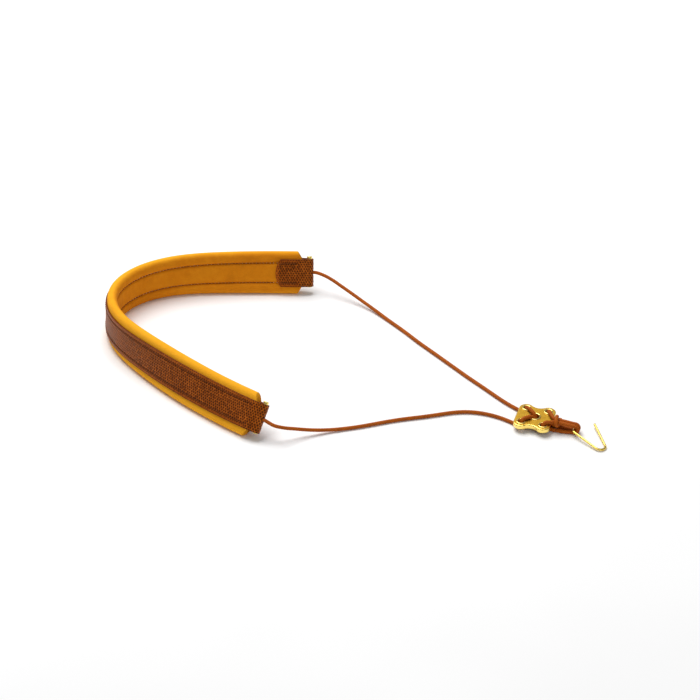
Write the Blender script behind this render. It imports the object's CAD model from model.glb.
import math

import bpy
import numpy as np
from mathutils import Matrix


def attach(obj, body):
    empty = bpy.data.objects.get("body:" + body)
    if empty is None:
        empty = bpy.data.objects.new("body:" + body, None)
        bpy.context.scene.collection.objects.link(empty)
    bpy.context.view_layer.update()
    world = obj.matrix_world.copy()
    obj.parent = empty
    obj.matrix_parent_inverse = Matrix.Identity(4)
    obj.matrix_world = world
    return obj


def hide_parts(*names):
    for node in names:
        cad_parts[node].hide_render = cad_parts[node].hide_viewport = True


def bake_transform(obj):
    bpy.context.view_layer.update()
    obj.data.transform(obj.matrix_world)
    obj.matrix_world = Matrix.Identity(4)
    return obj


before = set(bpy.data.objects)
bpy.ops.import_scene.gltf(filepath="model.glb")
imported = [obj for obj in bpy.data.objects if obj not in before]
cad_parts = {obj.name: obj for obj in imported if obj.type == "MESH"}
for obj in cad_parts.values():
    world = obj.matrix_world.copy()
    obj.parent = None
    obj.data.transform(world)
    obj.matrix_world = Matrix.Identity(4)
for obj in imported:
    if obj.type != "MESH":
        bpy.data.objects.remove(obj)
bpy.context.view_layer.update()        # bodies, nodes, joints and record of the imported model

# Lengths in this script are millimetres, as in the CAD source, until a mesh is made. MM turns
# them into metres. Angles are radians, except where a name or a comment says degrees.
MM = 0.001

# ---------------------------------------------------------------- the CAD's own sizes

PAD_LENGTH = 413.0
PAD_WIDTH = 40.0
ROUND = 4.25            # half of the pad's thickness, and the radius of its rolled edges
INNER_FACE = ROUND - 1e-6   # just short of the pad's inner face
MIDDLE = 20.0           # height of the band's middle line
CORNER_REACH = 4.0      # how far the pad's corners are clipped along it
CORNER_HEIGHT = 7.0     # and up its width
CORNER_FADE = 14.0      # how far from an end the rows are straight again
BAND_HALF = 13.0
BAND_THICK = 1.5
BAND_OUT = 5.05         # from the pad's middle to the band's middle
BAND_FACE = 5.8
TAB_LENGTH = 20.5
TAB_ROUND = 4.7
PIN_REACH = 10.9
FOLD_RADIUS = 3.35
FOLD_FROM = 3.2         # how far past the pad's end the band starts to close to the pin
STITCH_ROW = 9.25       # from the band's middle line to each row of stitches
STITCH_PITCH = 3.2
CORD_RADIUS = 1.6
LIE = 1.62              # height of a cord's middle where it lies on the surface

SLIDER_AT = np.array([159.8, -92.0, 0.0])
SLIDER_TURN = math.radians(-17)
ALONG = np.array([math.cos(SLIDER_TURN), math.sin(SLIDER_TURN), 0.0])
ACROSS = np.array([-math.sin(SLIDER_TURN), math.cos(SLIDER_TURN), 0.0])
UP = np.array([0.0, 0.0, 1.0])
PLATE_LOW = 3.4
PLATE_TOP = 7.6
HOLE_U = 9.75
HOLE_V = 10.5
CORNER_HOLE = 2.6
MIDDLE_HOLE = 3.9
LOBE = 6.6
WAIST_HALF = 13.7
BAR_U = 36.2
BAR_Z = 4.92
HOOK_TILT = math.radians(7.2)
WIRE_RADIUS = 1.0

FAR_ROUTE = [
    (-40.1, 123.1, 18.9), (-32, 122.9, 18.9), (-24, 120, 17.5), (-16, 116, 14.8),
    (-9, 111, 12.2), (-2, 106, 9.7), (5, 101, 7.3), (11, 95, 5.3), (18, 89, 3.7),
    (24, 83, 2.6), (29, 76, 2.0), (35, 69, 1.7), (40, 62, LIE), (46, 55, LIE),
    (51, 48, LIE), (56, 41, LIE), (61, 33, LIE), (67, 26, LIE), (72, 19, LIE),
    (78, 12, LIE), (83, 5, LIE), (88, -2, LIE), (94, -9, LIE), (99, -16, LIE),
    (104, -23, LIE), (110, -30, LIE), (116, -37, LIE), (121, -44, LIE), (127, -51, LIE),
    (132, -58, LIE), (138, -65, LIE), (144, -71, LIE), (150.5, -76.75, LIE),
]
NEAR_ROUTE = [
    (-78.8, -106.8, 17.1), (-73, -111.1, 17.1), (-65, -116, 15.2), (-56, -115, 12),
    (-48, -112, 9), (-40, -110, 6.5), (-32, -108, 4.5), (-23, -106, 2.9), (-15, -104, 2),
    (-6, -102, 1.7), (3, -100, LIE), (11, -98, LIE), (20, -95, LIE), (28, -92, LIE),
    (37, -90, LIE), (45, -87, LIE), (54, -86, LIE), (63, -84, LIE), (72, -82, LIE),
    (80, -80, LIE), (89, -77, LIE), (97, -76, LIE), (106, -76, LIE), (115, -78, LIE),
    (123, -81, LIE), (131, -85, LIE), (138, -90, LIE), (144.5, -95.75, LIE),
]
FAR_CORNER = [(-13, 11.6, LIE), (-11.5, 11.1, 1.9), (-10.2, 10.6, 3.3), (-9.75, 10.3, 5.8)]
NEAR_CORNER = [(-13.2, 8.4, LIE), (-11.5, 9.6, 1.9), (-10.2, 10.3, 3.3), (-9.75, 10.3, 5.8)]
CROSSING = [
    (-9, 9.5, 8.5), (-7.2, 7.7, 9.6), (-5, 5.6, 9.7), (-3, 3.9, 9.4), (-1.2, 2.5, 8.2),
    (0.1, 1.9, 6.2), (1.1, 1.8, 3.9), (3, 1.8, 2.1), (6, 2.1, LIE), (11, 2.5, LIE),
    (16, 2.9, LIE), (20.7, 3, LIE),
]
TAIL = [
    (20.5, 1.7, 9.3), (17.5, 2.6, 9.35), (14.6, 5, 9.6), (12.2, 7.4, 9.7), (10.6, 9.2, 8.9),
    (9.85, 10.2, 7), (9.75, 10.5, 5), (9.75, 10.5, 2.6),
]
LOOP_RADIUS = 3.3
LOOP_LOW = [(20.5, 3, LIE), (25.4, 3, LIE), (29.5, 2.6, LIE), (33, 1.9, LIE)]
LOOP_HIGH = [(33, 1.75, 8.35), (29.5, 1.8, 8.7), (25.4, 1.8, 9.04), (20.5, 1.7, 9.3)]
LOOP_MIDDLE = 1.75      # from the bundle's middle line to each loop, at the bar
SWAY = 3.3              # how far the bundle past the plate lies to the near side
SWAY_FROM = 8.0
SWAY_REACH = 10.0
HOOK_CORNERS = [
    (39.4, 1.9, 0), (36.2, 1.9, 2), (36.2, -8.4, 2), (76.05, -32.34, 5), (50.73, 10.64, 0),
]

random = np.random.default_rng(11)


# ---------------------------------------------------------------- the strap's own line

# Lengths are along the pad from its far end. Turns and leans are degrees.
LINE_START = np.array([-48.8, 117.4, ROUND])
START_TURN = -1.5
EVEN_TURN = 13          # over the whole length
BEND_TURN = 112         # round the back of the neck
BEND_MIDDLE = 172.5
BEND_REACH = 228
NEAR_TURN = 19.5        # from the bend's middle to the near end
NEAR_LEAN = 35
NEAR_LEAN_FROM = 143
FAR_LEAN = 22
FAR_LEAN_TO = 186


def ease(u):
    """From 0 to 1 as u does, level at both ends."""
    v = np.clip(u, 0, 1)
    return v ** 3 * (10 - 15 * v + 6 * v * v)


def heading(s):
    """The heading of the pad's line in plan."""
    on = np.clip(s, 0, PAD_LENGTH)
    bend = BEND_TURN * ease((on - BEND_MIDDLE) / BEND_REACH + 0.5)
    near = NEAR_TURN * np.clip((on - BEND_MIDDLE) / (PAD_LENGTH - BEND_MIDDLE), 0, 1)
    return np.radians(START_TURN + EVEN_TURN * on / PAD_LENGTH + bend + near)


def lean(s):
    """How far the pad's top leans inward."""
    near = NEAR_LEAN * ease((s - NEAR_LEAN_FROM) / (PAD_LENGTH - NEAR_LEAN_FROM))
    return np.radians(near - FAR_LEAN * ease(1 - s / FAR_LEAN_TO))


def travel(s):
    """The direction along the pad's line."""
    h = heading(s)
    return np.stack([-np.cos(h), -np.sin(h), 0 * h], -1)


def upward(s):
    """The direction up the pad's width."""
    h, t = heading(s), lean(s)
    return np.stack([np.sin(h) * np.sin(t), -np.cos(h) * np.sin(t), np.cos(t)], -1)


def inward(s):
    """The direction out of the pad's inner face."""
    h, t = heading(s), lean(s)
    return np.stack([np.sin(h) * np.cos(t), -np.cos(h) * np.cos(t), -np.sin(t)], -1)


LINE_STEPS = 3304
LINE_STEP = PAD_LENGTH / LINE_STEPS
line_s = np.arange(LINE_STEPS + 1) * LINE_STEP
plan_line = np.vstack([
    LINE_START,
    LINE_START + np.cumsum(LINE_STEP * travel(line_s[:-1] + LINE_STEP / 2), axis=0),
])


def on_line(s):
    """The plan line at length s, which goes on straight beyond the pad's ends."""
    inside = np.stack([np.interp(s, line_s, plan_line[:, k]) for k in range(3)], -1)
    beyond = s - np.clip(s, 0, PAD_LENGTH)
    return inside + beyond[..., None] * travel(s)


def place(s, height, out):
    """Points at length s, at a height up the pad's width, and out from its middle surface:
    out is positive towards the inner face."""
    s, height, out = np.broadcast_arrays(*(np.asarray(x, float) for x in (s, height, out)))
    return (
        on_line(s) + upward(s) * (height - ROUND)[..., None] + inward(s) * out[..., None]
    )


def slider_points(points, side=1):
    """Points in the slider's own frame, mirrored across it where side is -1."""
    u, v, z = np.asarray(points, float).T
    return SLIDER_AT + np.outer(u, ALONG) + np.outer(side * v, ACROSS) + np.outer(z, UP)


def swayed(points, side):
    """Cord points on the slider: mirrored for the near cord, and past the plate laid over."""
    p = np.array(points, float) * [1, side, 1]
    p[:, 1] -= SWAY * ease((p[:, 0] - SWAY_FROM) / SWAY_REACH)
    return slider_points(p)


def slider_solid(points):
    """Points of a solid in the slider's own frame."""
    return SLIDER_AT + points @ np.array([ALONG, ACROSS, UP])


# ---------------------------------------------------------------- meshes

def tube(rings, closed=False):
    """Vertices and faces of a solid through rings of points, or of a ring of rings."""
    n, m = rings.shape[:2]
    last = n if closed else n - 1
    i, j = np.meshgrid(np.arange(last), np.arange(m), indexing="ij")
    k, l = (i + 1) % n, (j + 1) % m
    quads = np.stack([i * m + j, i * m + l, k * m + l, k * m + j], -1).reshape(-1, 4)
    points = rings.reshape(-1, 3)
    a, b, c, d = (points[quads[:, k]] - points.mean(0) for k in range(4))
    volume = np.einsum("ij,ij->", a, np.cross(b, c)) + np.einsum("ij,ij->", a, np.cross(c, d))
    faces = quads.tolist()
    if not closed:
        faces += [list(range(m - 1, -1, -1)), list(range((n - 1) * m, n * m))]
    if volume < 0:
        faces = [face[::-1] for face in faces]
    return points, faces


def together(parts):
    """Several (vertices, faces) as one."""
    points, faces, start = [], [], 0
    for p, f in parts:
        points.append(p)
        faces += [[start + k for k in face] for face in f]
        start += len(p)
    return np.vstack(points), faces


def piece(name, points, faces, materials, relief=None, flat_angle=None):
    """A Blender mesh object from points in millimetres."""
    mesh = bpy.data.meshes.new(name)
    mesh.from_pydata((np.asarray(points) * MM).tolist(), [], faces)
    mesh.polygons.foreach_set("use_smooth", [True] * len(mesh.polygons))
    if flat_angle:
        mesh.set_sharp_from_angle(angle=math.radians(flat_angle))
    for finish in materials:
        mesh.materials.append(finish)
    if relief is not None:
        mesh.attributes.new("relief", "FLOAT", "POINT").data.foreach_set(
            "value", np.asarray(relief, np.float32).ravel()
        )
    made = bpy.data.objects.new(name, mesh)
    bpy.context.scene.collection.objects.link(made)
    return made


def curve_through(points, step):
    """Points a step apart along the smooth curve through the given ones."""
    p = np.asarray(points, float)
    p = np.vstack([p[0], p, p[-1]])
    t = np.linspace(0, 1, 24, endpoint=False)[:, None]
    fine = [
        0.5 * (2 * b + (c - a) * t + (2 * a - 5 * b + 4 * c - d) * t ** 2
               + (3 * b - a - 3 * c + d) * t ** 3)
        for a, b, c, d in zip(p, p[1:], p[2:], p[3:])
    ]
    fine = np.vstack(fine + [p[-1:]])
    far = np.concatenate([[0], np.cumsum(np.linalg.norm(np.diff(fine, axis=0), axis=1))])
    at = np.linspace(0, far[-1], max(3, round(far[-1] / step) + 1))
    return np.stack([np.interp(at, far, fine[:, k]) for k in range(3)], -1)


def side_axes(path):
    """Two directions square to a path, which don't twist along it."""
    d = np.gradient(path, axis=0)
    d /= np.linalg.norm(d, axis=1)[:, None]
    a = np.array([0.1, 0.3, 1.0])
    sides = []
    for direction in d:
        a = a - direction * (a @ direction)
        a = a / np.linalg.norm(a)
        sides.append(a)
    sides = np.array(sides)
    return sides, np.cross(d, sides)


def rounded_end(x, reach):
    """From 0 at an end to 1 at reach from it, as a quarter circle."""
    return np.sqrt(np.clip(1 - (1 - np.clip(x / reach, 0, 1)) ** 2, 0, 1))


def round_rings(path, r, angle):
    """Rings round a path, with a radius r for each row, or for each row and angle."""
    first, second = side_axes(path)
    return path[:, None] + r[..., None] * (
        np.cos(angle)[None, :, None] * first[:, None]
        + np.sin(angle)[None, :, None] * second[:, None]
    )


STRANDS = 6
LAY_LENGTH = 8.4
GROOVE = 0.2            # depth between the strands
HELD_GROW = 0.15        # how much a held cord's strands stand out past the CAD's round cord


def braid_lift(along, angle):
    """Height of a braid's surface, 0 in its grooves to 1 on its strands."""
    a = STRANDS * (angle / (2 * math.pi) + along / LAY_LENGTH)
    b = STRANDS * (angle / (2 * math.pi) - along / LAY_LENGTH)
    over = (np.floor(a) + np.floor(b)) % 2 == 0
    ra, rb = np.sin(math.pi * (a % 1)), np.sin(math.pi * (b % 1))
    top, under = np.where(over, ra, rb), np.where(over, rb, ra)
    return top ** 0.7 * (0.45 + 0.55 * under ** 0.8)


def braided(name, points, finish, radius=CORD_RADIUS, step=0.26, sides=32, grow=0.05):
    """A round braided cord along a smooth curve through the points."""
    path = curve_through(points, step)
    angle = np.linspace(0, 2 * math.pi, sides, endpoint=False)
    along = np.arange(len(path))[:, None] * step
    lift = braid_lift(along, angle[None, :])
    end = rounded_end(np.minimum(along, along[-1] - along), 0.5) * 0.75 + 0.25
    r = (radius + grow - GROOVE * (1 - lift)) * end
    return piece(name, *tube(round_rings(path, r, angle)), [finish], relief=lift)


def lathe(profile, sides=64):
    """A closed profile of (radius, height) turned round the upright axis."""
    angle = np.linspace(0, 2 * math.pi, sides, endpoint=False)
    r, z = np.asarray(profile, float).T
    return np.stack([
        r[None] * np.cos(angle)[:, None], r[None] * np.sin(angle)[:, None],
        np.broadcast_to(z, (sides, len(z))),
    ], -1)


# ---------------------------------------------------------------- finishes

def srgb(*colour):
    """A screen colour of 0 to 255 as Blender's linear colour."""
    c = np.array(colour) / 255
    return (*np.where(c <= 0.04045, c / 12.92, ((c + 0.055) / 1.055) ** 2.4).tolist(), 1.0)


class Finish:
    """A procedural material, built by short calls on its node tree."""

    def __init__(self, name, **sockets):
        self.material = bpy.data.materials.new(name)
        self.material.use_nodes = True
        self.tree = self.material.node_tree
        self.shader = self.tree.nodes["Principled BSDF"]
        for key, value in sockets.items():
            self.shader.inputs[key.replace("_", " ")].default_value = value
        self.where = self.add("ShaderNodeTexCoord").outputs["Object"]
        self.normal = None

    def add(self, kind, inputs=(), **settings):
        made = self.tree.nodes.new(kind)
        for key, value in settings.items():
            setattr(made, key, value)
        for key, value in dict(inputs).items():
            if isinstance(value, bpy.types.NodeSocket):
                self.tree.links.new(value, made.inputs[key])
            else:
                made.inputs[key].default_value = value
        return made

    def noise(self, size, detail=2.0, stretch=(1, 1, 1)):
        """Noise whose features are about size millimetres across."""
        where = self.add("ShaderNodeMapping", {"Vector": self.where, "Scale": stretch})
        return self.add("ShaderNodeTexNoise", {
            "Vector": where.outputs[0], "Scale": 1000 / size, "Detail": detail,
        }).outputs["Fac"]

    def cells(self, size):
        """Distance from the middles of random cells about size millimetres across."""
        return self.add("ShaderNodeTexVoronoi", {
            "Vector": self.where, "Scale": 1000 / size,
        }).outputs["Distance"]

    def relief(self):
        """The height of the mesh's own pattern, from 0 in its hollows to 1."""
        return self.add("ShaderNodeAttribute", attribute_name="relief").outputs["Fac"]

    def sum(self, *terms):
        """The sum of (value, weight) pairs."""
        total = None
        for value, weight in terms:
            term = self.add("ShaderNodeMath", {0: value, 1: weight}, operation="MULTIPLY")
            if total is None:
                total = term.outputs[0]
            else:
                total = self.add(
                    "ShaderNodeMath", {0: total, 1: term.outputs[0]}, operation="ADD"
                ).outputs[0]
        return total

    def colour(self, value, *stops):
        """Sets the base colour from a value, by (place, colour) stops."""
        made = self.add("ShaderNodeValToRGB", {"Fac": value})
        ramp = made.color_ramp
        while len(ramp.elements) < len(stops):
            ramp.elements.new(0.5)
        for element, (at, shade) in zip(ramp.elements, stops):
            element.position = at
            element.color = shade
        self.tree.links.new(made.outputs["Color"], self.shader.inputs["Base Color"])

    def roughness(self, value, low, high):
        made = self.add("ShaderNodeMapRange", {"Value": value, "To Min": low, "To Max": high})
        self.tree.links.new(made.outputs[0], self.shader.inputs["Roughness"])

    def bump(self, height, depth, strength=1.0):
        """Adds a bump of that depth in millimetres."""
        inputs = {"Height": height, "Distance": depth * MM, "Strength": strength}
        if self.normal:
            inputs["Normal"] = self.normal
        self.normal = self.add("ShaderNodeBump", inputs).outputs[0]
        self.tree.links.new(self.normal, self.shader.inputs["Normal"])


def suede_finish():
    f = Finish("amber_suede", Sheen_Weight=0.08, Sheen_Roughness=0.45,
               Sheen_Tint=srgb(255, 180, 70), Specular_IOR_Level=0.12)
    clouds, patches = f.noise(34, 3), f.noise(5, 3)
    nap, grain = f.noise(0.55, 2, (1, 1, 0.45)), f.noise(0.22, 1)
    f.colour(f.sum((f.relief(), 0.5), (clouds, 0.18), (patches, 0.12), (nap, 0.15), (grain, 0.05)),
             (0.24, srgb(132, 64, 4)), (0.52, srgb(214, 129, 13)), (0.74, srgb(244, 170, 34)),
             (0.90, srgb(250, 184, 46)))
    f.roughness(nap, 0.78, 0.98)
    f.bump(nap, 0.16, 0.8)
    f.bump(patches, 0.30, 0.5)
    return f.material


def leather_finish():
    f = Finish("embossed_leather", Specular_IOR_Level=0.5, Specular_Tint=srgb(255, 188, 104))
    relief, clouds, pores = f.relief(), f.noise(22, 3), f.noise(0.5, 3)
    f.colour(f.sum((relief, 0.8), (clouds, 0.2), (pores, 0.1)),
             (0.18, srgb(38, 8, 0)), (0.50, srgb(108, 42, 5)), (0.92, srgb(200, 104, 26)))
    f.roughness(f.sum((relief, -0.35), (pores, 0.5), (clouds, 0.6)), 0.36, 0.62)
    f.bump(pores, 0.07, 0.8)
    f.bump(f.cells(0.9), 0.05, 0.5)
    return f.material


def thread_finish():
    f = Finish("waxed_thread", Specular_IOR_Level=0.15)
    twist = f.noise(0.35, 2, (1, 1, 2.2))
    f.colour(twist, (0.3, srgb(88, 36, 6)), (0.7, srgb(144, 76, 18)))
    f.roughness(twist, 0.42, 0.7)
    f.bump(twist, 0.12)
    return f.material


def cord_finish():
    f = Finish("braided_cord", Specular_IOR_Level=0.15, Sheen_Weight=0.03,
               Sheen_Roughness=0.4, Sheen_Tint=srgb(230, 140, 70))
    relief, clouds, fibres = f.relief(), f.noise(9, 3), f.noise(0.3, 2)
    f.colour(f.sum((relief, 0.68), (clouds, 0.2), (fibres, 0.2)),
             (0.15, srgb(66, 20, 0)), (0.50, srgb(148, 66, 3)), (0.88, srgb(214, 114, 18)))
    f.roughness(fibres, 0.45, 0.75)
    f.bump(fibres, 0.06, 0.8)
    return f.material


def bead_finish():
    f = Finish("melted_cord", Specular_IOR_Level=0.5)
    lumps, specks = f.noise(1.6, 3), f.noise(0.4, 2)
    f.colour(f.sum((lumps, 0.7), (specks, 0.3)),
             (0.3, srgb(44, 16, 4)), (0.7, srgb(112, 54, 16)))
    f.roughness(lumps, 0.25, 0.6)
    f.bump(lumps, 0.2)
    return f.material


def foam_finish():
    f = Finish("foam", Specular_IOR_Level=0.2)
    bubbles = f.cells(0.8)
    f.colour(bubbles, (0.1, srgb(196, 184, 150)), (0.6, srgb(236, 226, 196)))
    f.roughness(bubbles, 0.85, 1.0)
    f.bump(bubbles, 0.2)
    return f.material


def gold_finish(name, dark, light, smooth, rough, grain, depth):
    """Gold plate: its colour drifts a little, and fine marks roughen it."""
    f = Finish(name, Metallic=1.0)
    drift, marks = f.noise(7, 2), f.noise(grain, 2, (1, 0.35, 1))
    f.colour(f.sum((drift, 0.6), (marks, 0.4)), (0.3, dark), (0.7, light))
    f.roughness(marks, smooth, rough)
    f.bump(marks, depth, 0.6)
    return f.material


suede = suede_finish()
leather = leather_finish()
thread = thread_finish()
cord_brown = cord_finish()
bead_brown = bead_finish()
foam = foam_finish()
polished = gold_finish(
    "polished_gold", srgb(250, 212, 104), srgb(255, 232, 142), 0.16, 0.28, 0.5, 0.01)
satin = gold_finish(
    "satin_gold", srgb(180, 136, 38), srgb(206, 163, 56), 0.34, 0.50, 0.35, 0.04)
wire_gold = gold_finish(
    "wire_gold", srgb(240, 200, 84), srgb(252, 224, 120), 0.14, 0.28, 0.6, 0.012)


# ---------------------------------------------------------------- camera, light and floor

def make_camera():
    """The photograph's viewpoint, through a long lens."""
    tilt, distance, aim = math.radians(34.06), 2.3189, 0.022
    data = bpy.data.cameras.new("camera")
    data.sensor_width, data.lens = 36, 131.98
    data.clip_start, data.clip_end = 0.05, 50
    camera = bpy.data.objects.new("camera", data)
    camera.location = (0, aim - distance * math.cos(tilt), distance * math.sin(tilt))
    camera.rotation_euler = (math.pi / 2 - tilt, 0, 0)
    bpy.context.scene.collection.objects.link(camera)
    bpy.context.scene.camera = camera


def make_light(name, spot, size, power):
    """A square area light that looks at the origin."""
    data = bpy.data.lights.new(name, "AREA")
    data.shape, data.size, data.energy = "SQUARE", size, power
    light = bpy.data.objects.new(name, data)
    light.location = spot
    x, y, z = spot
    light.rotation_euler = (math.atan2(math.hypot(x, y), z), 0, math.atan2(x, -y))
    bpy.context.scene.collection.objects.link(light)


def make_surroundings():
    world = bpy.data.worlds.new("studio")
    world.use_nodes = True
    sky = world.node_tree.nodes["Background"]
    sky.inputs["Color"].default_value = (1, 1, 1, 1)
    sky.inputs["Strength"].default_value = 0.30
    bpy.context.scene.world = world
    make_light("key", (-0.4, 0.75, 1.8), 1.5, 43)
    make_light("front", (0.6, -1.4, 1.3), 0.9, 4)
    bpy.context.scene.view_settings.view_transform = "Standard"

    floor_finish = Finish("floor", Roughness=0.95, Specular_IOR_Level=0.05)
    floor_finish.colour(floor_finish.noise(240, 2),
                        (0.3, srgb(247, 247, 247)), (0.7, srgb(250, 250, 250)))
    mesh = bpy.data.meshes.new("floor")
    half = 6.0
    mesh.from_pydata([(-half, -half, 0), (half, -half, 0), (half, half, 0), (-half, half, 0)],
                     [], [(0, 1, 2, 3)])
    mesh.materials.append(floor_finish.material)
    floor = bpy.data.objects.new("floor", mesh)
    floor.location.z = -0.0001
    bpy.context.scene.collection.objects.link(floor)


make_camera()


# ---------------------------------------------------------------- the two free cords


def make_free_cord(name, node, route, corner, side):
    """One free cord, from behind its pin to the slider, where the lacing goes on."""
    route = np.array([*route, slider_points([corner[0]], side)[0]])
    for _ in range(2):
        route[4:-2] = (route[3:-3] + 2 * route[4:-2] + route[5:-1]) / 4
    made = braided(name, route, cord_brown)
    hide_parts(node)
    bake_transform(made)


make_free_cord("cord_far", "far_cord", FAR_ROUTE, FAR_CORNER, 1)
make_free_cord("cord_near", "near_cord", NEAR_ROUTE, NEAR_CORNER, -1)
make_surroundings()


def finish_piece(made, body, slot, *nodes):
    """Puts a piece on its body, in the place of its CAD nodes."""
    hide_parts(*nodes)
    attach(made, body)


# ---------------------------------------------------------------- the padded strap

SEAM_SIDE = 1.6         # finer rows reach this far from a seam
SEAM_WIDTH = 1.25
SEAM_DEPTH = 1.5
SEAM_FROM = 8.0         # from the pad's end to where a seam starts to pull in
SEAM_FADE = 6.0
END_ROUND = 0.7         # radius of the cover's edge at the pad's ends
END_ROWS = np.array([0, 0.15, 0.4, 0.75, 1.2, 1.7, 2.2])
FOAM_END_ROWS = np.array([1.6, 2.2, 3, 4])
PAD_CLEAR = 0.03        # how far the pad stays above the surface
PUFF_CAP = 1.7
PUFF_FRAMES = 18


def spaced(*spans):
    """Places along (start, end, gap) spans, without the last end."""
    return np.concatenate([
        np.linspace(a, b, max(1, math.ceil(abs(b - a) / gap)), endpoint=False)
        for a, b, gap in spans
    ])


def pad_outline(gap, near_seam, inset=0.0):
    """Heights, outs and outward normals round the pad's cross-section."""
    r, low, high = ROUND - inset, ROUND, PAD_WIDTH - ROUND
    turn = np.radians(spaced((0, 180, math.degrees(gap / r))))
    lower, upper, side = MIDDLE - STITCH_ROW, MIDDLE + STITCH_ROW, SEAM_SIDE
    inner = spaced(
        (low, lower - side, gap), (lower - side, lower, near_seam),
        (lower, lower + side, near_seam), (lower + side, upper - side, gap),
        (upper - side, upper, near_seam), (upper, upper + side, near_seam),
        (upper + side, high, gap),
    )
    outer = spaced(
        (high, MIDDLE + BAND_HALF, gap), (MIDDLE + BAND_HALF, MIDDLE - BAND_HALF, 2 * gap),
        (MIDDLE - BAND_HALF, low, gap),
    )
    ones, none = np.ones_like, np.zeros_like
    return (
        np.concatenate([high + r * np.sin(turn), outer, low - r * np.sin(turn), inner]),
        np.concatenate([r * np.cos(turn), -r * ones(outer), -r * np.cos(turn), r * ones(inner)]),
        np.concatenate([np.sin(turn), none(outer), -np.sin(turn), none(inner)]),
        np.concatenate([np.cos(turn), -ones(outer), -np.cos(turn), ones(inner)]),
    )


def pad_points(rows, outline, swell=0.0, back=0.0):
    """The pad's surface at rows along its line, with its clipped and rounded ends."""
    heights, outs, up, out = outline
    reach = CORNER_REACH * np.clip(np.minimum(heights, PAD_WIDTH - heights) / CORNER_HEIGHT, 0, 1)
    from_far, from_near = rows[:, None], PAD_LENGTH - rows[:, None]
    s = (
        rows[:, None] - reach * np.clip(1 - from_far / CORNER_FADE, 0, 1)
        + reach * np.clip(1 - from_near / CORNER_FADE, 0, 1)
    )
    # The very ends are 0.82 as thick, and a little less wide
    full = rounded_end(np.minimum(from_far, from_near) - back, END_ROUND)
    thin = 0.82 + 0.18 * full
    across = 1 - 0.008 * (1 - full)
    tall = MIDDLE + (heights - MIDDLE) * across
    normal = upward(s) * up[..., None] + inward(s) * out[..., None]
    points = place(s, tall, outs * thin) + normal * np.asarray(swell)[..., None]
    points[..., 2] = np.maximum(points[..., 2], PAD_CLEAR)
    return points, normal


def puffed(points, normal, held):
    """How far a cover's points swell when air presses it, held where it is sewn or lies on
    something: a cloth simulation, capped."""
    made = piece("puffing", *tube(points), [])
    made.vertex_groups.new(name="held").add(np.flatnonzero(held.ravel()).tolist(), 1.0, "REPLACE")
    cloth = made.modifiers.new("puff", "CLOTH")
    use = cloth.settings
    use.quality, use.mass, use.air_damping = 8, 0.15, 2.0
    use.tension_stiffness = use.compression_stiffness = 8
    use.shear_stiffness, use.bending_stiffness = 6, 0.4
    use.vertex_group_mass = "held"
    use.use_pressure, use.uniform_pressure_force = True, 20.0
    use.effector_weights.gravity = 0
    cloth.collision_settings.use_collision = False
    for number in range(1, PUFF_FRAMES + 1):
        bpy.context.scene.frame_set(number)
    seen = made.evaluated_get(bpy.context.evaluated_depsgraph_get()).data
    moved = np.empty(points.size, np.float32)
    seen.vertices.foreach_get("co", moved)
    move = moved.reshape(points.shape) / MM - points
    bpy.context.scene.frame_set(1)
    bpy.data.objects.remove(made)
    swell = np.einsum("ijk,ijk->ij", move, normal)
    print("PUFF mm: most", round(float(swell.max()), 2), "mean", round(float(swell.mean()), 2))
    return np.clip(swell, -0.2, PUFF_CAP)


def round_length(outline):
    """Distance round the cross-section to each of its points, and all the way round."""
    h, o = outline[:2]
    steps = np.hypot(np.roll(h, -1) - h, np.roll(o, -1) - o)
    return np.concatenate([[0], np.cumsum(steps[:-1])]), steps.sum()


def spread_over(values, rows, outline, fine_rows, fine_outline):
    """Values on a coarse grid of the pad's surface, on a finer one, smoothed."""
    at, whole = round_length(outline)
    fine_at, fine_whole = round_length(fine_outline)
    by_row = np.stack([np.interp(fine_rows, rows, column) for column in values.T], -1)
    over = np.concatenate([at, [whole]])
    fine = np.stack([
        np.interp(fine_at * whole / fine_whole, over, np.append(row, row[0])) for row in by_row
    ])
    for _ in range(3):
        inner = (fine[:-2] + 2 * fine[1:-1] + fine[2:]) / 4
        fine = np.vstack([fine[:1], inner, fine[-1:]])
        fine = (np.roll(fine, 1, 1) + 2 * fine + np.roll(fine, -1, 1)) / 4
    return fine


def seam_pinch(rows, outline):
    """How deep the two stitch rows pull the inner face in, deepest at each needle hole."""
    heights, outs = outline[:2]
    near = np.minimum(abs(heights - MIDDLE - STITCH_ROW), abs(heights - MIDDLE + STITCH_ROW))
    shape = np.where(outs > INNER_FACE, np.exp(-(near / SEAM_WIDTH) ** 2), 0)
    holes = 0.74 + 0.26 * np.cos(2 * math.pi * rows / STITCH_PITCH)
    sewn = (
        np.clip((rows - SEAM_FROM) / SEAM_FADE, 0, 1)
        * np.clip((PAD_LENGTH - SEAM_FROM - rows) / SEAM_FADE, 0, 1)
    )
    return SEAM_DEPTH * (holes * sewn)[:, None] * shape[None, :]


coarse_outline = pad_outline(2.2, 1.6)
coarse_rows = np.linspace(0, PAD_LENGTH, 151)
coarse, coarse_normal = pad_points(coarse_rows, coarse_outline)
heights, outs = coarse_outline[:2]
behind_band = abs(heights - MIDDLE) <= BAND_HALF + 0.1
under_band = behind_band & (outs < 0)
under_tab = behind_band & (outs > INNER_FACE)
sewn = (outs > INNER_FACE) & (abs(abs(heights - MIDDLE) - STITCH_ROW) < 0.05)
from_end = np.minimum(coarse_rows, PAD_LENGTH - coarse_rows)
held = (
    under_band[None] | sewn[None] | (from_end < 1)[:, None]
    | (under_tab[None] & (from_end < TAB_LENGTH)[:, None])
)
swell = puffed(coarse, coarse_normal, held)

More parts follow.
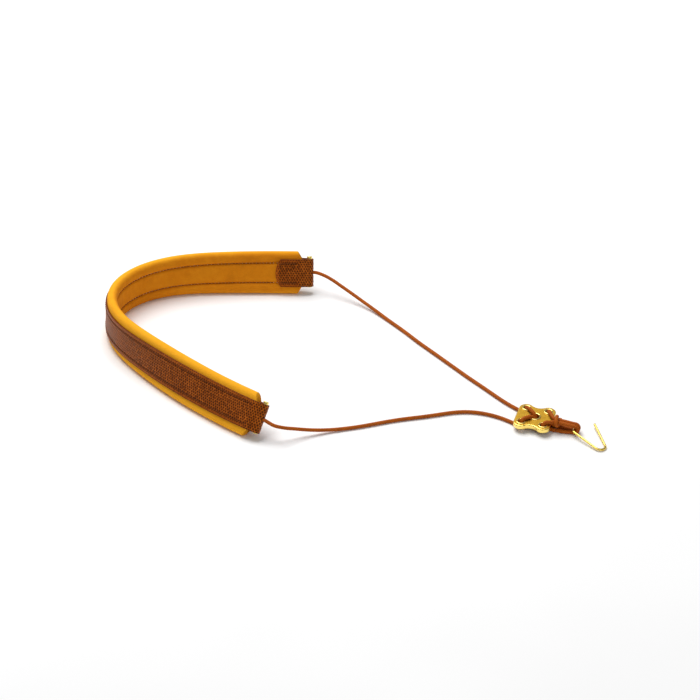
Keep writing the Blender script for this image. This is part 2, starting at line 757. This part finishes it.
fine_outline = pad_outline(0.8, 0.3)
fine_rows = np.concatenate([
    END_ROWS, np.arange(3, PAD_LENGTH - 2.5, 0.8), PAD_LENGTH - END_ROWS[::-1],
])
shape = spread_over(swell, coarse_rows, coarse_outline, fine_rows, fine_outline)
pinch = seam_pinch(fine_rows, fine_outline)
shape -= pinch
cover_points, _ = pad_points(fine_rows, fine_outline, shape)
# The suede is darker on its flat inner face and in the seams than on the stretched rolls
worn = 1 - 0.45 * np.maximum(fine_outline[3], 0)[None] ** 1.5 - 0.17 * pinch
cover = piece("suede_cover", *tube(cover_points), [suede], relief=worn)
finish_piece(cover, "strap", "suede", "pad_cover")

foam_rows = np.concatenate([
    FOAM_END_ROWS, np.arange(6, PAD_LENGTH - 5, 4.0), PAD_LENGTH - FOAM_END_ROWS[::-1],
])
foam_points, _ = pad_points(foam_rows, pad_outline(2.0, 1.6, inset=1.35), back=1.5)
foam_core = piece("foam_core", *tube(foam_points), [foam])
finish_piece(foam_core, "strap", "foam", "pad_foam")


# ---------------------------------------------------------------- the embossed band

PIT_PITCH = 2.4
PIT_WOBBLE = 0.4        # how unevenly the pits are spread
PIT_DEPTH = 0.30
SEAM_GROOVE = 0.24      # depth under the stitches
CRATER_DEPTH = 0.85     # round the cord's holes
CRATER_RADIUS = 2.35
WAVE_HEIGHT = 0.10
BAND_EDGE = 0.45        # radius of the band's rounded edges
BAND_CLEAR = 0.02       # how far the band stays above the surface
TIP_ROWS = np.array([0, 0.08, 0.2, 0.36])


def strip_line():
    """The band's middle line as (length along the pad, out), from tab tip to tab tip."""
    turn = np.radians(np.arange(90, -91, -10))
    end = np.vstack([
        [[TAB_LENGTH, BAND_OUT], [-FOLD_FROM, BAND_OUT]],
        np.stack([-PIN_REACH - FOLD_RADIUS * np.cos(turn), FOLD_RADIUS * np.sin(turn)], -1),
        [[-FOLD_FROM, -BAND_OUT]],
    ])
    other = end[::-1] * [-1, 1] + [PAD_LENGTH, 0]
    line = np.vstack([end, other])
    far = np.concatenate([[0], np.cumsum(np.hypot(*np.diff(line, axis=0).T))])
    at = np.arange(0, far[-1], 0.1)
    line = np.stack([np.interp(at, far, line[:, k]) for k in range(2)], -1)
    window = 15
    padded = np.vstack([
        line[0] + (line[0] - line[1]) * np.arange(window, 0, -1)[:, None], line,
        line[-1] + (line[-1] - line[-2]) * np.arange(1, window + 1)[:, None],
    ])
    kernel = np.ones(2 * window + 1) / (2 * window + 1)
    return at, np.stack([np.convolve(padded[:, k], kernel, "valid") for k in range(2)], -1)


def pits(x, y):
    """Depth of the embossed pits, 1 in the middle of a pit, on a slightly uneven lattice."""
    tall = PIT_PITCH * math.sqrt(3) / 2
    row = np.round(y / tall)
    best = np.full(np.broadcast(x, y).shape, 9.0)
    for dr in (-1, 0, 1):
        r = row + dr
        shift = 0.5 * PIT_PITCH * (r % 2)
        column = np.round((x - shift) / PIT_PITCH)
        for dc in (-1, 0, 1):
            c = column + dc
            wobble = np.sin(c * 12.9898 + r * 78.233) * 43758.5453
            other = np.sin(c * 39.346 + r * 11.135) * 24634.6345
            cx = c * PIT_PITCH + shift + PIT_WOBBLE * (wobble - np.floor(wobble) - 0.5)
            cy = r * tall + PIT_WOBBLE * (other - np.floor(other) - 0.5)
            size = 0.90 + 0.16 * (wobble * 7 - np.floor(wobble * 7))
            best = np.minimum(best, np.hypot(x - cx, 0.9 * (y - cy)) / size)
    return np.exp(-best ** 3)


def tab_recess(y):
    """How far the tab's rounded end falls back from its tip, across the band."""
    radius = (BAND_HALF ** 2 + TAB_ROUND ** 2) / (2 * TAB_ROUND)
    return radius - np.sqrt(radius ** 2 - y ** 2)


def band_section():
    """Places across and through the band, round its section with rounded edges."""
    half, side = BAND_THICK / 2, BAND_HALF - BAND_EDGE
    inside = half - BAND_EDGE
    face = np.linspace(-side, side, 59)
    back = np.linspace(side, -side, 7)
    turn = np.radians([25, 50, 75, 105, 130, 155])
    across, through = BAND_EDGE * np.sin(turn), BAND_EDGE * np.cos(turn)
    y = np.concatenate([face, side + across, back, -side - across])
    w = np.concatenate([
        half * np.ones_like(face), inside + through[:3], -inside + through[3:],
        -half * np.ones_like(back), -inside - through[:3], inside - through[3:],
    ])
    return y[None, :], w[None, :]


def make_band():
    """The band with its print, grooves under the stitches, and craters at the cord's holes."""
    at, line = strip_line()
    whole = at[-1]
    fold = TAB_LENGTH + PIN_REACH + 5.6
    rows = np.concatenate([
        TIP_ROWS,
        spaced(
            (0.6, fold - 4, 0.5), (fold - 4, fold + 4, 0.34), (fold + 4, whole - fold - 4, 0.5),
            (whole - fold - 4, whole - fold + 4, 0.34), (whole - fold + 4, whole - 0.6, 0.5),
        ),
        [whole - 0.6], whole - TIP_ROWS[::-1],
    ])
    step = np.gradient(line, axis=0)
    step /= np.linalg.norm(step, axis=1)[:, None]
    s, out, ds, dout = (
        np.interp(rows, at, values)[:, None] for values in (*line.T, *step.T)
    )
    y, w = band_section()
    x = rows[:, None]
    on_face = abs(y) <= BAND_HALF - BAND_EDGE
    front = np.clip((w + BAND_THICK / 2) / BAND_THICK, 0, 1) ** 6 * on_face
    from_tip = np.minimum(x, whole - x)
    on_pad = (s > -1) & (s < PAD_LENGTH + 1)
    border = np.clip((abs(y) - STITCH_ROW + 0.9) / 0.8, 0, 1) * on_pad
    tip_border = np.clip((3.2 - from_tip) / 0.8, 0, 1)
    depth = pits(x, y) * (1 - 0.4 * np.maximum(border, tip_border))
    sewn = on_pad & (from_tip > 5)
    groove = np.exp(-(abs(abs(y) - STITCH_ROW) / 0.6) ** 2) * sewn
    # The cord's holes are in the middles of the two folds
    far_hole, near_hole = at[np.argmin(line[:, 0])], at[np.argmax(line[:, 0])]
    hole = np.hypot(np.minimum(abs(x - far_hole), abs(x - near_hole)), y)
    crater = np.clip((CRATER_RADIUS - hole) / 0.5, 0, 1)
    waves = WAVE_HEIGHT * np.sin(x * 0.21 + 0.6 * np.sin(x * 0.07)) * np.cos(y * 0.2)
    sink = (
        front * (PIT_DEPTH * depth + SEAM_GROOVE * groove + CRATER_DEPTH * crater)
        + 0.5 * front * abs(waves)
    )
    printed = np.clip(1 - depth - 0.35 * groove - crater - 0.12 * border, 0, 1)
    relief = printed * front + 0.4 * (1 - front)
    thin = 0.3 + 0.7 * rounded_end(from_tip, 0.5)
    lift = w * thin - sink
    recess = tab_recess(y) * np.clip(1 - from_tip / 13, 0, 1)
    points = place(s + dout * lift - np.sign(PAD_LENGTH / 2 - s) * recess,
                   MIDDLE + y, out - ds * lift)
    points[..., 2] = np.maximum(points[..., 2], BAND_CLEAR)
    return piece("embossed_band", *tube(points), [leather], relief=relief)


finish_piece(make_band(), "strap", "embossed_leather", "leather_band")


# ---------------------------------------------------------------- stitching

def make_stitches(name, height, node):
    """Each stitch of one row: a short twisted thread that dips in at both ends."""
    long, thick = 2.5, 0.42
    x = np.linspace(-1, 1, 11)
    angle = np.linspace(0, 2 * math.pi, 9, endpoint=False)
    girth = thick * (0.35 + 0.65 * np.sqrt(np.clip(1 - x ** 2, 0, 1)))
    ply = 1 + 0.14 * np.cos(2 * (angle[None] + 5.5 * x[:, None]))
    shape = np.stack([
        np.broadcast_to(x[:, None] * long / 2, ply.shape),
        girth[:, None] * np.cos(angle) * ply,
        (0.22 - 0.55 * x ** 4)[:, None] + 0.85 * girth[:, None] * np.sin(angle) * ply,
    ], -1)
    parts = []
    # (from, to, out) on the band's face, on the suede between the tabs, and on the two tabs
    runs = [
        (4.0, PAD_LENGTH - 4.0, -BAND_FACE + 0.12),
        (TAB_LENGTH + 2, PAD_LENGTH - TAB_LENGTH - 2, ROUND - 1.1),
        (1.5, 14.5, BAND_FACE - 0.12),
        (PAD_LENGTH - 14.5, PAD_LENGTH - 1.5, BAND_FACE - 0.12),
    ]
    for start, stop, out in runs:
        for s in np.arange(start, stop, STITCH_PITCH) + STITCH_PITCH / 2:
            yaw = math.radians(random.normal(0, 2.0))
            s, h = s + random.normal(0, 0.05), height + random.normal(0, 0.05)
            along, high = travel(np.array(s)), upward(np.array(s))
            facing = inward(np.array(s)) * math.copysign(1, out)
            across = high * math.cos(yaw) + along * math.sin(yaw)
            run = along * math.cos(yaw) - high * math.sin(yaw)
            centre = place(s, h, out)
            parts.append(tube(centre + shape @ np.array([run, across, facing])))
    finish_piece(piece(name, *together(parts), [thread]), "strap", "thread", node)


make_stitches("stitches_upper", MIDDLE + STITCH_ROW, "upper_stitching")
make_stitches("stitches_lower", MIDDLE - STITCH_ROW, "lower_stitching")


# ---------------------------------------------------------------- pins and end knots

for name in ("far_pin", "near_pin"):
    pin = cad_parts[name]
    pin.data.polygons.foreach_set("use_smooth", [True] * len(pin.data.polygons))
    pin.data.set_sharp_from_angle(angle=math.radians(35))
    pin.data.materials.clear()
    pin.data.materials.append(polished)


def make_knot(name, node, s, outward):
    """The stopper behind a pin: the cord's end wound twice round itself and pulled tight."""
    centre = place(s, MIDDLE, 0)
    up, inner = upward(np.array(s)), inward(np.array(s))
    x = travel(np.array(s)) * outward
    t = np.linspace(0, 1, 41)
    turn = 2 * math.pi * 2.1 * t
    reach = 1.75 + 0.1 * np.sin(3 * turn)
    path = (
        centre + np.outer(-3.5 - 1.5 * t, x)
        + np.outer(reach * np.cos(turn), up) + np.outer(reach * np.sin(turn), inner)
    )
    made = braided(name, path, cord_brown, radius=0.95, step=0.25, sides=20, grow=0)
    finish_piece(made, "strap", "cord", node)


make_knot("knot_far", "far_end_knot", -PIN_REACH, -1)
make_knot("knot_near", "near_end_knot", PAD_LENGTH + PIN_REACH, 1)


# ---------------------------------------------------------------- the slider plate

BEVEL = 1.0
RIM_RADIUS = 0.85       # of the round bead that makes a hole's rim


def plate_outline():
    """The plate's outline in its own frame: four lobes, joined by waists along the sides."""
    rise = (
        (HOLE_U ** 2 + HOLE_V ** 2 - (WAIST_HALF - LOBE) ** 2)
        / (2 * (HOLE_V + LOBE - WAIST_HALF))
    )
    radius = rise - WAIST_HALF
    lean_in = math.atan2(HOLE_U, rise - HOLE_V)
    lobe = np.radians(np.arange(0, 90, 4))
    lobe = np.concatenate([lobe, np.linspace(math.pi / 2, math.pi / 2 + lean_in, 14)])
    waist = np.linspace(-lean_in, lean_in, 27)[1:-1]
    top = [(HOLE_U + LOBE * math.cos(t), HOLE_V + LOBE * math.sin(t)) for t in lobe]
    top += [(-radius * math.sin(t), rise - radius * math.cos(t)) for t in waist]
    top += [(-u, v) for u, v in reversed(top[:len(lobe)])]
    return top + [(-u, -v) for u, v in top]


def make_plate():
    """The plate with rounded edges, and a raised polished rim round each hole."""
    curve = bpy.data.curves.new("plate", "CURVE")
    curve.dimensions, curve.fill_mode = "2D", "BOTH"
    curve.extrude = ((PLATE_TOP - PLATE_LOW) / 2 - BEVEL) * MM
    curve.bevel_depth, curve.bevel_resolution = BEVEL * MM, 5
    curve.offset = -BEVEL * MM
    holes = [(su * HOLE_U, sv * HOLE_V, CORNER_HOLE) for su in (-1, 1) for sv in (-1, 1)]
    holes.append((0, 0, MIDDLE_HOLE))
    circle = np.linspace(0, 2 * math.pi, 56, endpoint=False)
    loops = [plate_outline()] + [
        [(u + (r + 0.15) * math.cos(t), v + (r + 0.15) * math.sin(t)) for t in circle]
        for u, v, r in holes
    ]
    for loop in loops:
        spline = curve.splines.new("POLY")
        spline.points.add(len(loop) - 1)
        for point, (u, v) in zip(spline.points, loop):
            point.co = (u * MM, v * MM, 0, 1)
        spline.use_cyclic_u = True
    source = bpy.data.objects.new("plate", curve)
    bpy.context.scene.collection.objects.link(source)
    mesh = bpy.data.meshes.new_from_object(
        source.evaluated_get(bpy.context.evaluated_depsgraph_get()))
    bpy.data.objects.remove(source)
    points = np.array([v.co[:] for v in mesh.vertices]) / MM + [0, 0, (PLATE_LOW + PLATE_TOP) / 2]
    parts = [(points, [list(p.vertices) for p in mesh.polygons])]
    plate_faces = len(parts[0][1])
    flat = [abs(p.normal.z) > 0.97 for p in mesh.polygons]
    t = np.radians(np.linspace(180, 0, 11))
    arch_out, arch_up = RIM_RADIUS * np.cos(t), PLATE_TOP - 0.15 + RIM_RADIUS * np.sin(t)
    for u, v, r in holes:
        rim = [
            (r, PLATE_LOW + 0.5), *zip(r + RIM_RADIUS + arch_out, arch_up),
            (r + 2 * RIM_RADIUS, PLATE_TOP - 0.6), (r + 0.5, PLATE_LOW + 0.1),
            (r + 0.2, PLATE_LOW + 0.05),
        ]
        ring, faces = tube(lathe(rim), closed=True)
        parts.append((ring + [u, v, 0], faces))
    points, faces = together(parts)
    made = piece("slider_metal", slider_solid(points), faces, [satin, polished], flat_angle=40)
    index = [0 if k < plate_faces and flat[k] else 1 for k in range(len(made.data.polygons))]
    made.data.polygons.foreach_set("material_index", index)
    finish_piece(made, "slider", "gold_plate", "slider_plate")


make_plate()


# ---------------------------------------------------------------- cord through the slider

# The wrap goes one and a third times round the tails, as an oval.
WRAP_FROM = 18.1
WRAP_PITCH = 3.3
WRAP_HALF = 4.9
WRAP_HALF_HEIGHT = 3.26
WRAP_HEIGHT = 9.25
WRAP_START = math.radians(120)

BEAD_RADIUS = 3.3


def held_cord(name, node, points, side):
    """A stretch of cord that the slider or the wrap holds."""
    made = braided(name, swayed(points, side), cord_brown, grow=HELD_GROW)
    finish_piece(made, "slider", "cord", node)


held_cord("lacing_far", "far_lacing", FAR_CORNER + CROSSING, 1)
held_cord("lacing_near", "near_lacing", NEAR_CORNER + CROSSING, -1)
held_cord("tail_far", "far_tail", TAIL, 1)
held_cord("tail_near", "near_tail", TAIL, -1)
wrap_turn = np.radians(np.arange(0, 481, 15))
wrap = np.stack([
    WRAP_FROM + WRAP_PITCH * wrap_turn / (2 * math.pi),
    WRAP_HALF * np.cos(wrap_turn - WRAP_START),
    WRAP_HEIGHT + WRAP_HALF_HEIGHT * np.sin(wrap_turn - WRAP_START),
], -1)
held_cord("wrap_cord", "cord_wrap", wrap, 1)


def make_loop(name, node, side):
    """The bight round the hook's bar, which lengthens as the slider moves."""
    t = np.radians(np.arange(-90, 91, 15))
    arc = np.stack([
        BAR_U + LOOP_RADIUS * np.cos(t), LOOP_MIDDLE + 0 * t, BAR_Z + LOOP_RADIUS * np.sin(t),
    ], -1)
    path = swayed(np.vstack([LOOP_LOW, arc, LOOP_HIGH]), side)
    made = braided(name, path, cord_brown, grow=HELD_GROW)
    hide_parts(node)
    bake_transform(made)


make_loop("loop_far", "far_hook_loop", 1)
make_loop("loop_near", "near_hook_loop", -1)


def make_bead(name, node, side):
    """The cord's melted end, squeezed into an uneven bead under the plate."""
    t = np.radians(np.linspace(-90, 90, 15))
    top, low = PLATE_LOW - 0.1, PLATE_LOW - 2.2
    mid, half = (top + low) / 2, (top - low) / 2
    profile = np.stack([BEAD_RADIUS * np.cos(t) ** 0.55 + 0.02, mid + half * np.sin(t)], -1)
    rings = lathe(profile, 40).swapaxes(0, 1)
    angle = np.arctan2(rings[..., 1], rings[..., 0])
    uneven = 1 - 0.03 - 0.03 * np.cos(3 * angle + side) - 0.02 * np.cos(7 * angle)
    rings = rings * np.stack([uneven, uneven, np.ones_like(uneven)], -1)
    points, faces = tube(rings)
    world = slider_solid(points + [HOLE_U, side * HOLE_V, 0])
    finish_piece(piece(name, world, faces, [bead_brown]), "slider", "cord_bead", node)


make_bead("bead_far", "far_stop_bead", 1)
make_bead("bead_near", "near_stop_bead", -1)


# ---------------------------------------------------------------- the hook

HOOK_END_ROWS = np.array([0, 0.08, 0.2, 0.4, 0.7])
WIRE_END = 0.8          # length of the wire's rounded ends


def hook_line():
    """The wire's middle line in the slider's plan: straights and round bends."""
    corners = np.array([(u, v) for u, v, _ in HOOK_CORNERS])
    line = [corners[0]]
    for k in range(1, len(corners) - 1):
        radius = HOOK_CORNERS[k][2]
        a = (corners[k] - corners[k - 1]) / np.linalg.norm(corners[k] - corners[k - 1])
        b = (corners[k + 1] - corners[k]) / np.linalg.norm(corners[k + 1] - corners[k])
        turn = math.atan2(a[0] * b[1] - a[1] * b[0], a @ b)
        sign = math.copysign(1, turn)
        begin = corners[k] - a * radius * math.tan(abs(turn) / 2)
        centre = begin + sign * radius * np.array([-a[1], a[0]])
        for t in np.linspace(0, turn, 25):
            arm = begin - centre
            line.append(centre + np.array([
                arm[0] * math.cos(t) - arm[1] * math.sin(t),
                arm[0] * math.sin(t) + arm[1] * math.cos(t),
            ]))
    return np.array([*line, corners[-1]])


def make_hook():
    """The bent wire, which slopes down from its bar to the surface."""
    flat = hook_line()
    far = np.concatenate([[0], np.cumsum(np.hypot(*np.diff(flat, axis=0).T))])
    at = np.concatenate([
        HOOK_END_ROWS, np.arange(1, far[-1] - 1, 0.3), far[-1] - HOOK_END_ROWS[::-1],
    ])
    u, v = (np.interp(at, far, flat[:, k]) for k in range(2))
    along = u - BAR_U
    path = slider_points(np.stack([
        BAR_U + along * math.cos(HOOK_TILT), v, BAR_Z - along * math.sin(HOOK_TILT),
    ], -1))
    angle = np.linspace(0, 2 * math.pi, 28, endpoint=False)
    r = WIRE_RADIUS * np.maximum(rounded_end(np.minimum(at, far[-1] - at), WIRE_END), 0.15)
    made = piece("hook_metal", *tube(round_rings(path, r[:, None], angle)), [wire_gold])
    finish_piece(made, "hook", "hook_wire", "hook")


make_hook()

bpy.context.view_layer.update()
